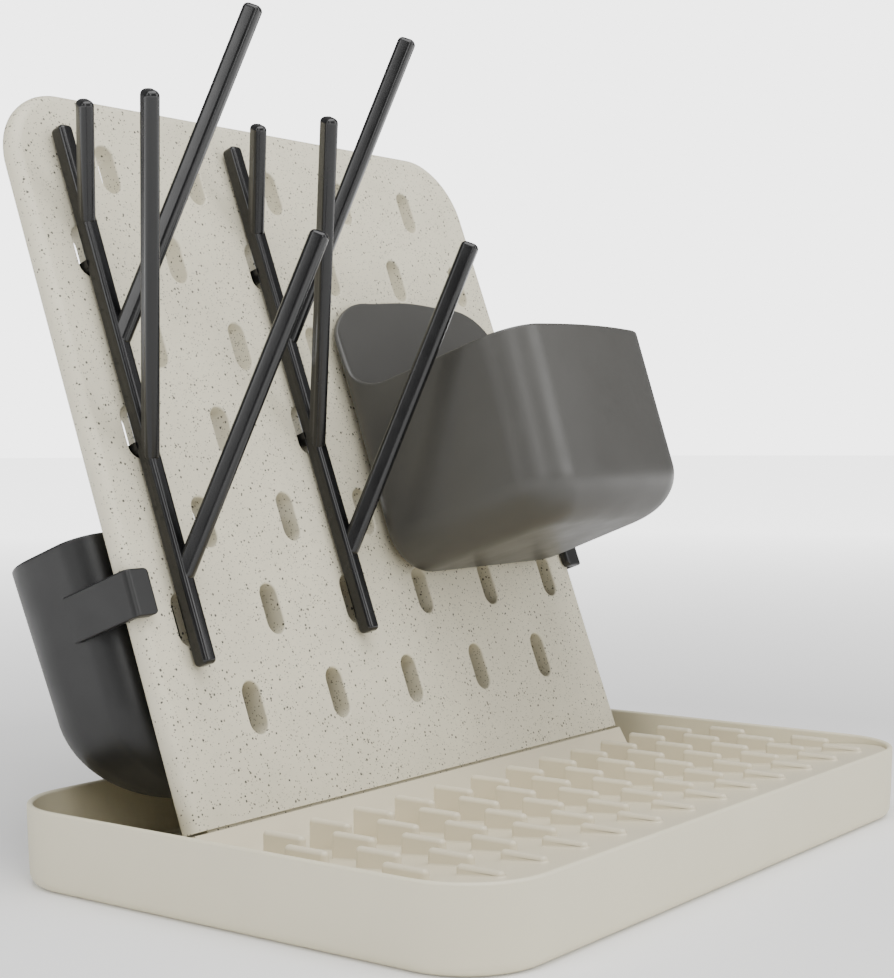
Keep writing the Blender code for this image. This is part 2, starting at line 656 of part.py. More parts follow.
# ------------------------------------------------------------------ rear caddy
def build_caddy(surface):
    depth = CADDY_BACK_Y - CADDY_FRONT_Y
    half = CADDY_HALF_WIDTH
    corners = [
        (-half, 0, CADDY_FRONT_CORNER), (half, 0, CADDY_FRONT_CORNER),
        (half, depth, CADDY_BACK_CORNER), (-half, depth, CADDY_BACK_CORNER)]
    plan = [(x / half, y / depth) for x, y in rounded(corners)]
    levels = []
    for z, inset in edge_levels(CADDY_FOOT, CADDY_FOOT_EDGE, 7):
        share = inset / CADDY_FOOT_EDGE
        levels.append((z, half - CADDY_TAPER - inset, CADDY_FRONT_Y + share * CADDY_FRONT_FOOT_EDGE,
                       CADDY_BACK_Y - CADDY_TAPER - inset))
    levels.append((CADDY_RIM, half, CADDY_FRONT_Y, CADDY_BACK_Y))
    caddy = add_part("rear_caddy", tub_skin("rear_caddy", plan, levels), surface, board_frame)
    thicken(caddy, CADDY_WALL)

    # an arm at each side reaches round the board's edge and ends in a lip in front of it
    arms = []
    for side in (-1, 1):
        outline = rounded([
            (side * ARM_OUTER_X, ARM_BACK_Y, 0), (side * ARM_OUTER_X, ARM_FRONT_Y, ARM_CORNER),
            (side * ARM_LIP_X, ARM_FRONT_Y, 1 * MM), (side * ARM_LIP_X, -GAP, 1 * MM),
            (side * ARM_INNER_X, -GAP, 0), (side * ARM_INNER_X, ARM_BACK_Y, 0)])
        arms.append(outline if side < 0 else list(reversed(outline)))
    both = slab("caddy_arms", arms, ARM_Z[0], ARM_Z[1])
    boolean(caddy, add_cutter("caddy_arms", both, board_frame), "UNION")

    # two ribs keep the caddy's front wall square to the board
    rests = bmesh.new()
    for side in (-1, 1):
        middle = side * CADDY_REST_X
        add_box(
            rests, (middle - CADDY_REST_WIDTH / 2, BOARD_THICKNESS + GAP, CADDY_REST_Z[0]),
            (middle + CADDY_REST_WIDTH / 2, CADDY_FRONT_Y + CADDY_WALL / 2, CADDY_REST_Z[1]))
    boolean(caddy, add_cutter("caddy_rests", finish_mesh("caddy_rests", rests), board_frame), "UNION")


tray_plastic = plastic("tray_plastic", (214, 208, 197), 0.45)
board_plastic = plastic("speckled_plastic", (203, 199, 186), 0.5)
tree_plastic = plastic("tree_plastic", (70, 70, 71), 0.35)
cup_plastic = plastic("cup_plastic", (97, 97, 93), 0.35)
caddy_plastic = plastic("caddy_plastic", (70, 70, 68), 0.35)
foot_rubber = plastic("foot_rubber", (150, 147, 140), 0.85)

build_tray(tray_plastic)
build_feet(foot_rubber)
build_insert(tray_plastic)
build_board(board_plastic)
for tree_name, tree_x, tree_rise in zip(("peg_tree_left", "peg_tree_right"), TREE_X, TREE_RISE):
    build_tree(tree_name, tree_x, tree_rise, tree_plastic)
build_cup(cup_plastic)
build_caddy(caddy_plastic)
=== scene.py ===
"""The looks of a drying rack for baby bottles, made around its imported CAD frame.

Every piece is modelled again here with fine meshes: rounded rims, filleted slots, ribs with
soft feet. Sizes are those of the CAD part, in metres, +Z up, +Y to the back. What belongs to the
leaning board is modelled in the board's own frame, +Z up its face and +Y back through it, and
BOARD_PLACE puts it in the row frame.
"""

from math import atan2, ceil, cos, pi, radians, sin, sqrt, tan

import bmesh
import bpy
import numpy as np
from mathutils import Matrix, Vector


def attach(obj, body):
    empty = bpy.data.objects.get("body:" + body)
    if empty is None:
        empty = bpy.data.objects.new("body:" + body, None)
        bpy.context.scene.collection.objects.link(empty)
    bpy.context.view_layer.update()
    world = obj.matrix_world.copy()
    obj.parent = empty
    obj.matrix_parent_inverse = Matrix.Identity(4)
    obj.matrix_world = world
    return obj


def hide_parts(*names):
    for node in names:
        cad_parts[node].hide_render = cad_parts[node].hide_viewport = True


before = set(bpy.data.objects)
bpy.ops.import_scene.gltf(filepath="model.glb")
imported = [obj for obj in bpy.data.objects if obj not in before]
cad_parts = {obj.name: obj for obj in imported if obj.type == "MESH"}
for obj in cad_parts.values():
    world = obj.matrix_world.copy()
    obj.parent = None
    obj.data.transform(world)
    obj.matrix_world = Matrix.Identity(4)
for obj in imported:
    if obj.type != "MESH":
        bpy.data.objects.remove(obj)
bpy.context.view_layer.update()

MM = 0.001

# ------------------------------------------------------------------ tray
TRAY_WIDTH = 336.5 * MM
TRAY_DEPTH = 234.9 * MM
TRAY_HEIGHT = 31.4 * MM
TRAY_CORNER = 32.8 * MM
TRAY_WALL = 2.5 * MM
TRAY_DRAFT = 1.0 * MM
TRAY_FOOT_EDGE = 5.0 * MM
TRAY_RIM_EDGE = 1.1 * MM
TRAY_INNER_EDGE = 3.0 * MM

FOOT_RADIUS = 7.0 * MM
FOOT_THICKNESS = 1.0 * MM
FOOT_EDGE = 0.35 * MM
FOOT_X = 132.0 * MM
FOOT_Y = 82.0 * MM

GAP = 0.3 * MM

# ------------------------------------------------------------------ draining floor
FLOOR_SKIN = 2.5 * MM
FLOOR_Z_AT_ORIGIN = 19.26 * MM
FLOOR_SLOPE = 0.093
FLOOR_SIDE_GAP = 0.5 * MM
SKIRT_SIDE_GAP = 0.8 * MM
SIDE_BAY_FRONT = 20.0 * MM
SKIRT_INSET = 4.0 * MM
SKIRT_WALL = 2.5 * MM
SKIRT_FOOT = 2.8 * MM
WEB_X = 54.0 * MM

RIB_TOP = 30.9 * MM
RIB_WIDTH = 3.8 * MM
RIB_LENGTH = 19.0 * MM
RIB_TOP_EDGE = 1.7 * MM
RIB_FOOT_EDGE = 0.7 * MM
RIB_PITCH_X = 25.45 * MM
RIB_PITCH_Y = 21.5 * MM
RIB_FIRST_Y = -8.0 * MM
RIB_ROWS = 5
RIBS_IN_FULL_ROW = 13

PLINTH_HALF_WIDTH = 148.5 * MM
PLINTH_TOP_FRONT = (27.7 * MM, 26.4 * MM)
PLINTH_FACE_ANGLE = radians(59.2)
PLINTH_TOP_DEPTH = 17.5 * MM
PLINTH_BACK = 46.0 * MM
PLINTH_TOE_EDGE = 4.0 * MM
PLINTH_TOP_EDGE = 0.6 * MM

# ------------------------------------------------------------------ board
BOARD_LEAN = radians(20.38)
BOARD_ORIGIN = (0.0, 41.97 * MM, 66.18 * MM)
BOARD_PLACE = Matrix.Translation(BOARD_ORIGIN) @ Matrix.Rotation(-BOARD_LEAN, 4, "X")
BOARD_WIDTH = 296.0 * MM
BOARD_TOP = 261.5 * MM
BOARD_FOOT = -41.2 * MM
BOARD_THICKNESS = 10.0 * MM
BOARD_EDGE = 4.5 * MM
BOARD_TOP_CORNER = 32.0 * MM

SLOT_LENGTH = 21.1 * MM
SLOT_WIDTH = 9.7 * MM
SLOT_EDGE = 0.9 * MM
SLOT_PITCH = 50.0 * MM
ROW_PITCH = 38.2 * MM
ROWS = 7

TONGUE_WIDTH = 280.0 * MM
TONGUE_THICKNESS = 5.0 * MM
TONGUE_LENGTH = 14.0 * MM
SOCKET_CLEARANCE = 0.4 * MM
SOCKET_EXTRA_DEPTH = 1.8 * MM

# ------------------------------------------------------------------ hooks
HOOK_WIDTH = 7.6 * MM
HOOK_HEIGHT = 4.9 * MM
HOOK_REACH = 4.6 * MM
HOOK_SEAT_GAP = 0.3 * MM

# ------------------------------------------------------------------ peg trees
TREE_X = (-125.0 * MM, -25.0 * MM)
TREE_RISE = (0.0, 3.5 * MM)
STEM_WIDTH = 6.6 * MM
STEM_DEPTH = 7.4 * MM
STEM_AXIS_Y = -4.6 * MM
STEM_FOOT = 18.5 * MM
STEM_TOP = 242.6 * MM
PEG_WIDTH = 5.9 * MM
PEG_DEPTH = 7.8 * MM
PEG_EDGE = 2.3 * MM
STEM_EDGE = 2.0 * MM
PEG_DIRECTION = (0.257, -0.578, 0.774)
PEG_LONG = 142.8 * MM
PEG_SHORT = 49.0 * MM
# height of each peg's root on the stem, side (+1 right, -1 left) and length
PEGS = (
    (53.3 * MM, 1, PEG_LONG),
    (101.7 * MM, -1, PEG_LONG),
    (149.9 * MM, 1, PEG_LONG),
    (200.9 * MM, -1, PEG_SHORT),
)
TREE_HOOK_ROWS = (3, 5)

# ------------------------------------------------------------------ front cup
CUP_X = 71.4 * MM
CUP_HALF_WIDTH = 65.6 * MM
CUP_FRONT_HALF_WIDTH = 55.5 * MM
CUP_BACK_CORNER = 7.0 * MM
CUP_FRONT_CORNER = 21.5 * MM
CUP_BOW_RADIUS = 330.0 * MM
CUP_BACK_Y = -3.0 * MM
CUP_FRONT_Y = -91.5 * MM
CUP_BOW_Y = -96.8 * MM
CUP_FOOT = 44.5 * MM
CUP_RIM = 128.5 * MM
CUP_TOP = 177.0 * MM
CUP_FOOT_EDGE = 20.7 * MM
CUP_BACK_FOOT_EDGE = 3.6 * MM
CUP_SIDE_FLARE = 1.9 * MM
CUP_FRONT_TAPER = 3.7 * MM
CUP_WALL = 2.5 * MM
CUP_SWEEP = 20.3 * MM
CUP_PANEL_CORNER = 32.5 * MM
CUP_PANEL_CROWN = 1.8 * MM
CUP_HOOK_ROW = 4
CUP_HOOK_X = (50.0 * MM, 100.0 * MM)
CUP_BOTTOM_INSETS = (20 * MM, 8 * MM, 2 * MM)
CUP_REST_Z = (64.0 * MM, 72.0 * MM)
CUP_REST_HALF_WIDTH = 12.0 * MM

# edge radius of the small pads that keep cup and caddy off the board
REST_EDGE = 0.6 * MM

# ------------------------------------------------------------------ rear caddy
CADDY_HALF_WIDTH = 151.5 * MM
CADDY_FRONT_Y = 15.5 * MM
CADDY_BACK_Y = 75.9 * MM
CADDY_RIM = 79.5 * MM
CADDY_FOOT = -27.0 * MM
CADDY_FOOT_EDGE = 45.0 * MM
CADDY_FRONT_FOOT_EDGE = 8.0 * MM
CADDY_TAPER = 2.5 * MM
CADDY_WALL = 2.5 * MM
CADDY_BACK_CORNER = 28.0 * MM
CADDY_FRONT_CORNER = 14.0 * MM
ARM_Z = (40.5 * MM, 59.0 * MM)
ARM_OUTER_X = 153.0 * MM
ARM_INNER_X = 149.4 * MM
ARM_LIP_X = 140.9 * MM
ARM_FRONT_Y = -4.3 * MM
ARM_BACK_Y = 32.0 * MM
ARM_CORNER = 2.6 * MM
ARM_LIP_CORNER = 3.6 * MM
ARM_EDGE = 0.8 * MM
CADDY_BOTTOM_INSETS = (1.5 * MM, 0.7 * MM)
CADDY_REST_X = 75.0 * MM
CADDY_REST_WIDTH = 8.0 * MM
CADDY_REST_Z = (-8.0 * MM, 32.0 * MM)

# ------------------------------------------------------------------ fineness of the meshes
ARC_STEP = radians(5)
ARC_LENGTH = 3 * MM
TUB_SPACING = 1.3 * MM
WALL_ROWS = 9
RIM_STEPS = 6
RIM_SQUARENESS = 0.65
SHARP_ANGLE = radians(38)

# ------------------------------------------------------------------ detail of the materials
PLASTIC_IOR = 1.5
DRIFT_SIZE = 38 * MM
GLOSS_SIZE = 14 * MM
GRAIN_SIZE = 0.5 * MM
CLOUD_SIZE = 26 * MM
BLOTCH_SIZE = 2.6 * MM
BOARD_GLOSS_SIZE = 11 * MM
BOARD_GRAIN_SIZE = 0.45 * MM
BOARD_GRAIN_HEIGHT = 0.012 * MM
# spacing, largest radius, share of the cells that hold one and darkness of the board's specks
FINE_SPECKS = (1.0 * MM, 0.36 * MM, 0.9, 0.6)
COARSE_SPECKS = (2.0 * MM, 0.6 * MM, 0.9, 0.9)

# ------------------------------------------------------------------ camera and studio
CAMERA_AT = (-0.62697, -0.44156, 0.17674)
CAMERA_LOOK = (0.80285, 0.59509, -0.03615)
CAMERA_ROLL = -0.003
CAMERA_LENS = 67.6
CAMERA_SENSOR = 36
SKY_LIGHT = 0.32
BACKDROP = 4.0
GLOW_NEAR = 0.08
GLOW_FAR = 3.0
GLOW_REACH = (0.4, 2.2)
STUDIO_RADIUS = 9
RACK_MIDDLE = (0, 0.04, 0.14)
# name, place, width, height and watts of each area light
SOFTBOXES = (
    ("overhead", (-0.2, -0.35, 1.5), 1.4, 1.2, 24),
    ("left", (-1.5, 0.3, 1.0), 0.6, 1.0, 8),
    ("front", (-0.8, -1.05, 0.8), 0.4, 0.9, 5),
    ("front_right", (0.62, -1.3, 0.8), 0.8, 1.0, 10),
)


# ------------------------------------------------------------------ mesh helpers
def rounded(corners):
    """An outline with each corner (x, y, radius) turned into an arc."""
    outline = []
    count = len(corners)
    for i, (x, y, radius) in enumerate(corners):
        here = Vector((x, y))
        before = (Vector(corners[i - 1][:2]) - here).normalized()
        after = (Vector(corners[(i + 1) % count][:2]) - here).normalized()
        if radius == 0:
            outline.append((x, y))
            continue
        inside = before.angle(after)
        centre = here + (before + after).normalized() * radius / sin(inside / 2)
        start = here + before * radius / tan(inside / 2) - centre
        end = here + after * radius / tan(inside / 2) - centre
        turn = (atan2(end.y, end.x) - atan2(start.y, start.x) + pi) % (2 * pi) - pi
        steps = max(2, ceil(abs(turn) / ARC_STEP), ceil(abs(turn) * radius / ARC_LENGTH))
        for k in range(steps + 1):
            angle = atan2(start.y, start.x) + turn * k / steps
            outline.append((centre.x + radius * cos(angle), centre.y + radius * sin(angle)))
    return outline


def arc(centre, radius, start, end, steps):
    """Points along an arc from one angle to another, in degrees."""
    angles = [radians(start + (end - start) * k / steps) for k in range(steps + 1)]
    return [(centre[0] + radius * cos(a), centre[1] + radius * sin(a)) for a in angles]


def finish_mesh(name, bm):
    bmesh.ops.recalc_face_normals(bm, faces=bm.faces)
    mesh = bpy.data.meshes.new(name)
    bm.to_mesh(mesh)
    bm.free()
    return mesh


def add_loft(bm, rings):
    """Rings of points joined into one closed skin with a cap at each end."""
    loops = [[bm.verts.new(point) for point in ring] for ring in rings]
    for lower, upper in zip(loops, loops[1:]):
        for i in range(len(lower)):
            bm.faces.new((lower[i - 1], lower[i], upper[i], upper[i - 1]))
    bm.faces.new(list(reversed(loops[0])))
    bm.faces.new(loops[-1])


def evaluated_mesh(item):
    """The item's mesh with its modifiers or its curve settings applied; the item is removed."""
    bpy.context.view_layer.update()
    evaluated = item.evaluated_get(bpy.context.evaluated_depsgraph_get())
    mesh = bpy.data.meshes.new_from_object(evaluated)
    bpy.data.objects.remove(item, do_unlink=True)
    mesh.materials.clear()
    return mesh


def linked(name, data):
    item = bpy.data.objects.new(name, data)
    bpy.context.scene.collection.objects.link(item)
    return item


def combined(base, tool, operation):
    """The base mesh after one Boolean with the tool mesh."""
    item = linked(base.name, base)
    other = linked(tool.name, tool)
    step = item.modifiers.new(operation, "BOOLEAN")
    step.operation = operation
    step.solver = "EXACT"
    step.object = other
    mesh = evaluated_mesh(item)
    bpy.data.objects.remove(other, do_unlink=True)
    return mesh


def slab(name, outlines, low, high, edge=0.0):
    """Flat outlines in X and Y as one mesh, solid from z = low to z = high, as filled curves."""
    curve = bpy.data.curves.new(name, "CURVE")
    curve.dimensions = "2D"
    curve.fill_mode = "BOTH"
    curve.extrude = (high - low) / 2 - edge
    curve.bevel_depth = edge
    curve.bevel_resolution = 5
    curve.offset = -edge
    for outline in outlines:
        spline = curve.splines.new("POLY")
        spline.points.add(len(outline) - 1)
        for point, (x, y) in zip(spline.points, outline):
            point.co = (x, y, 0, 1)
        spline.use_cyclic_u = True
    mesh = evaluated_mesh(linked(name, curve))
    bm = bmesh.new()
    bm.from_mesh(mesh)
    bpy.data.meshes.remove(mesh)
    bmesh.ops.remove_doubles(bm, verts=bm.verts, dist=1e-6)
    bmesh.ops.translate(bm, vec=(0, 0, (high + low) / 2), verts=bm.verts)
    return finish_mesh(name, bm)


# turns a slab so that its outline stands in the X-Z plane and its thickness runs to the front
STAND_UP = Matrix.Rotation(pi / 2, 4, "X")
# turns a slab so that its outline (y, z) stands in the Y-Z plane and its thickness runs along X
SIDE_ON = Matrix(((0, 0, 1, 0), (1, 0, 0, 0), (0, 1, 0, 0), (0, 0, 0, 1)))


def turned(mesh, matrix):
    mesh.transform(matrix)
    return mesh


def add_box(bm, low, high, edge=0.0):
    size = Vector(high) - Vector(low)
    add_rounded_bar(bm, Matrix.Translation((Vector(high) + Vector(low)) / 2), size, edge)


def add_rounded_bar(bm, matrix, size, edge):
    """A box with rounded edges, centred on its matrix."""
    bar = bmesh.new()
    bmesh.ops.create_cube(bar, size=1)
    bmesh.ops.scale(bar, vec=size, verts=bar.verts)
    if edge:
        bmesh.ops.bevel(bar, geom=bar.edges, offset=edge, segments=5, profile=0.5, affect="EDGES")
    bmesh.ops.transform(bar, matrix=matrix, verts=bar.verts)
    mesh = bpy.data.meshes.new("bar")
    bar.to_mesh(mesh)
    bar.free()
    bm.from_mesh(mesh)
    bpy.data.meshes.remove(mesh)


def box_mesh(name, low, high, edge=0.0):
    bm = bmesh.new()
    add_box(bm, low, high, edge)
    return finish_mesh(name, bm)


def stick_mesh(name, start, end, width, depth, edge):
    """A bar of rounded section and rounded ends between two points."""
    start = Vector(start)
    end = Vector(end)
    turn = (end - start).to_track_quat("Z", "Y").to_matrix().to_4x4()
    place = Matrix.Translation((start + end) / 2) @ turn
    bm = bmesh.new()
    add_rounded_bar(bm, place, (width, depth, (end - start).length), edge)
    return finish_mesh(name, bm)


def capsule(width, length, grow, steps):
    """A round-ended outline, its long axis on Y, grown outwards."""
    radius = width / 2 + grow
    reach = (length - width) / 2
    return arc((0, reach), radius, 0, 180, steps) + arc((0, -reach), radius, 180, 360, steps)


def rounded_rectangle(half_x, half_y, radius, steps=14):
    """A rounded rectangle with the same number of points whatever its radius."""
    outline = []
    for quarter, (side_x, side_y) in enumerate(((1, 1), (-1, 1), (-1, -1), (1, -1))):
        centre = (side_x * (half_x - radius), side_y * (half_y - radius))
        outline += arc(centre, radius, 90 * quarter, 90 * quarter + 90, steps)
    return outline


def hook_mesh(name, x, slot_foot, front_y):
    """A neck through a slot, then a lip that goes down and back at 45 degrees behind the board."""
    radius = HOOK_WIDTH / 2
    foot = slot_foot + HOOK_SEAT_GAP
    outline = arc((x, foot + radius), radius, 180, 360, 14)
    outline += [(x + radius, foot + HOOK_HEIGHT), (x - radius, foot + HOOK_HEIGHT)]
    back = BOARD_THICKNESS + HOOK_SEAT_GAP
    shift = ((front_y, 0), (back, 0), (back + HOOK_REACH, HOOK_REACH))
    bm = bmesh.new()
    add_loft(bm, [[(px, y, pz - drop) for px, pz in outline] for y, drop in shift])
    return finish_mesh(name, bm)


def slot_centres():
    """The board's slots: rows of five on whole pitches, rows of six on half pitches."""
    for row in range(ROWS):
        count = 5 if row % 2 == 0 else 6
        for i in range(count):
            yield (i - (count - 1) / 2) * SLOT_PITCH, row * ROW_PITCH


def slot_foot(row):
    return row * ROW_PITCH - SLOT_LENGTH / 2


def floor_height(y):
    return FLOOR_Z_AT_ORIGIN - FLOOR_SLOPE * y


# ------------------------------------------------------------------ thin-walled tubs
def edge_levels(foot, edge, steps):
    """Height and inset up a rounded foot edge."""
    for k in range(steps + 1):
        angle = pi / 2 * k / steps
        yield foot + edge * (1 - cos(angle)), edge * (1 - sin(angle))


def tub_mesh(name, corners, levels, top, wall, rim_height):
    """A thin-walled tub with a rounded rim of any height, lofted from one plan outline.

    The plan's corners are (x, y, radius) at the rim. Each level, and the top, gives a height, a
    half width and the y of the plan's first and last edge. rim_height(x, y) is where the wall ends.
    """
    outline = np.array(rounded(corners))
    outline = np.vstack([outline, outline[:1]])
    along = np.concatenate([[0], np.cumsum(np.hypot(*np.diff(outline, axis=0).T))])
    around = along[-1]
    half, depth = np.abs(outline[:, 0]).max(), outline[np.abs(outline[:, 1]).argmax(), 1]
    count = round(around / TUB_SPACING)
    columns = np.arange(count) * around / count

    def plan(where):
        x = np.interp(where % around, along, outline[:, 0])
        y = np.interp(where % around, along, outline[:, 1])
        return x, y

    def ring(where, height, half_width, first_y, last_y):
        x, y = plan(where)
        z = height + 0 * x
        return np.stack([x / half * half_width, first_y + y / depth * (last_y - first_y), z], axis=1)

    x, y = plan(columns)
    rim = np.array([rim_height(px, top[2] + py / depth * (top[3] - top[2])) for px, py in zip(x, y)])
    for _ in range(2):
        rim = (np.roll(rim, 1) + 2 * rim + np.roll(rim, -1)) / 4
    rise = (np.roll(rim, -1) - np.roll(rim, 1)) / 2
    run = around / count
    slope = np.hypot(rise, run)
    base_along = columns + wall / 2 * rise / slope
    base_height = rim - wall / 2 * run / slope

    rings = [ring(columns, *level) for level in levels]
    foot = levels[-1]
    for row in range(1, WALL_ROWS + 1):
        share = row / WALL_ROWS
        height = foot[0] + (base_height - foot[0]) * share
        sizes = [np.interp(height, (foot[0], top[0]), (foot[i], top[i])) for i in (1, 2, 3)]
        rings.append(ring(columns + (base_along - columns) * share ** 2, height, *sizes))

    outer = np.array(rings)
    across = np.roll(outer, -1, axis=1) - np.roll(outer, 1, axis=1)
    normal = np.cross(across, np.gradient(outer, axis=0))
    normal /= np.linalg.norm(normal, axis=2, keepdims=True)
    if normal[0, 0, 2] > 0:
        normal = -normal
    inner = outer - wall * normal

    up = np.cross(across[-1], normal[-1])
    up /= np.linalg.norm(up, axis=1, keepdims=True)
    if up[:, 2].mean() < 0:
        up = -up
    middle = (outer[-1] + inner[-1]) / 2
    lip = []
    for k in range(1, RIM_STEPS):
        angle = pi * k / RIM_STEPS
        side = np.sign(cos(angle)) * abs(cos(angle)) ** RIM_SQUARENESS
        lip.append(middle + wall / 2 * (side * normal[-1] + sin(angle) ** RIM_SQUARENESS * up))
    bm = bmesh.new()
    add_loft(bm, [*outer, *lip, *inner[::-1]])
    return finish_mesh(name, bm)


def flat_levels(level, insets):
    """Levels across a flat bottom, inside its outermost level."""
    height, half_width, first_y, last_y = level
    inward = 1 if last_y > first_y else -1
    return [(height, half_width - d, first_y + inward * d, last_y - inward * d) for d in insets]


# ------------------------------------------------------------------ pieces
def foot_centres():
    return [(sx * FOOT_X, sy * FOOT_Y) for sy in (-1, 1) for sx in (-1, 1)]


def disc(radius, z):
    return [(x, y, z) for x, y in arc((0, 0), radius, 0, 360 - 7.5, 47)]


def foot_mesh(name, centre):
    bm = bmesh.new()
    profile = [(FOOT_RADIUS - FOOT_EDGE, 0)]
    profile += arc((FOOT_RADIUS - FOOT_EDGE, FOOT_EDGE), FOOT_EDGE, -60, 0, 4)
    profile += [(FOOT_RADIUS, FOOT_THICKNESS)]
    add_loft(bm, [disc(radius, z) for radius, z in profile])
    bmesh.ops.translate(bm, vec=(*centre, 0), verts=bm.verts)
    return finish_mesh(name, bm)


def tray_mesh():
    """One loft from the underside, up the outside, over the rim and down to the inner floor."""
    def outer_inset(z):
        return TRAY_DRAFT * (1 - z / TRAY_HEIGHT)

    foot, rim, inner = TRAY_FOOT_EDGE, TRAY_RIM_EDGE, TRAY_INNER_EDGE
    profile = [(4 * foot, 0), (TRAY_DRAFT + 1.4 * foot, 0)]
    profile += arc((TRAY_DRAFT + foot, foot), foot, 270, 180, 8)
    for share in (0.35, 0.7):
        z = foot + share * (TRAY_HEIGHT - foot - rim)
        profile.append((outer_inset(z), z))
    profile += arc((rim, TRAY_HEIGHT - rim), rim, 180, 90, 5)
    profile += arc((TRAY_WALL - rim, TRAY_HEIGHT - rim), rim, 90, 0, 5)
    for share in (0.7, 0.35):
        z = TRAY_WALL + inner + share * (TRAY_HEIGHT - TRAY_WALL - inner - rim)
        profile.append((TRAY_WALL + outer_inset(z), z))
    lowest = TRAY_WALL + TRAY_DRAFT
    profile += arc((lowest + inner, TRAY_WALL + inner), inner, 180, 270, 6)
    profile += [(lowest + 1.4 * inner, TRAY_WALL), (lowest + 4 * foot, TRAY_WALL)]
    rings = []
    for inset, z in profile:
        outline = rounded_rectangle(
            TRAY_WIDTH / 2 - inset, TRAY_DEPTH / 2 - inset, TRAY_CORNER - inset)
        rings.append([(x, y, z) for x, y in outline])
    bm = bmesh.new()
    add_loft(bm, rings)
    tray = finish_mesh("tray", bm)

    pockets = bmesh.new()
    depth = FOOT_THICKNESS + GAP
    for x, y in foot_centres():
        rings = [disc(FOOT_RADIUS + GAP, z) for z in (-depth, depth)]
        add_loft(pockets, [[(x + px, y + py, pz) for px, py, pz in ring] for ring in rings])
    return combined(tray, finish_mesh("foot_pockets", pockets), "DIFFERENCE")


def floor_plan(gap, inset):
    """The floor's half width, front and front corner radius inside the tray's rim."""
    edge = TRAY_WALL + gap + inset
    return TRAY_WIDTH / 2 - edge, -TRAY_DEPTH / 2 + edge, TRAY_CORNER - edge


def skirt_mesh():
    """Walls under the floor's edge and two webs, open above and below."""
    half, front, corner = floor_plan(SKIRT_SIDE_GAP, SKIRT_INSET)
    back = SIDE_BAY_FRONT - SKIRT_INSET
    outline = rounded([(-half, front, corner), (half, front, corner), (half, back, 0), (-half, back, 0)])
    skirt = slab("skirt", [outline], SKIRT_FOOT, 2 * SKIRT_FOOT)
    for vert in skirt.vertices:
        if vert.co.z > 1.5 * SKIRT_FOOT:
            vert.co.z = floor_height(vert.co.y) - FLOOR_SKIN / 2
    bays = bmesh.new()
    edges = (-half, -WEB_X, WEB_X, half)
    for i, (left, right) in enumerate(zip(edges, edges[1:])):
        near = front + (SKIRT_WALL if i == 1 else corner)
        low = (left + (SKIRT_WALL if i == 0 else SKIRT_WALL / 2), near, 0)
        high = (right - (SKIRT_WALL if i == 2 else SKIRT_WALL / 2), back - SKIRT_WALL, 2 * TRAY_HEIGHT)
        add_box(bays, low, high)
    return combined(skirt, finish_mesh("bays", bays), "DIFFERENCE")


def rib_rings(x, y):
    """One rib: a foot that flares onto the sloping floor, level shoulders and a rounded top."""
    rings = []
    for grow, rise in ((1.0, -0.5), (0.62, 0.06), (0.3, 0.25), (0.08, 0.6), (0, 1)):
        outline = capsule(RIB_WIDTH, RIB_LENGTH, grow * RIB_FOOT_EDGE, 10)
        rings.append([(x + px, y + py, floor_height(y + py) + rise * RIB_FOOT_EDGE) for px, py in outline])
    for angle in (0, 20, 40, 60, 80):
        grow = RIB_TOP_EDGE * (cos(radians(angle)) - 1)
        z = RIB_TOP - RIB_TOP_EDGE * (1 - sin(radians(angle)))
        rings.append([(x + px, y + py, z) for px, py in capsule(RIB_WIDTH, RIB_LENGTH, grow, 10)])
    return rings


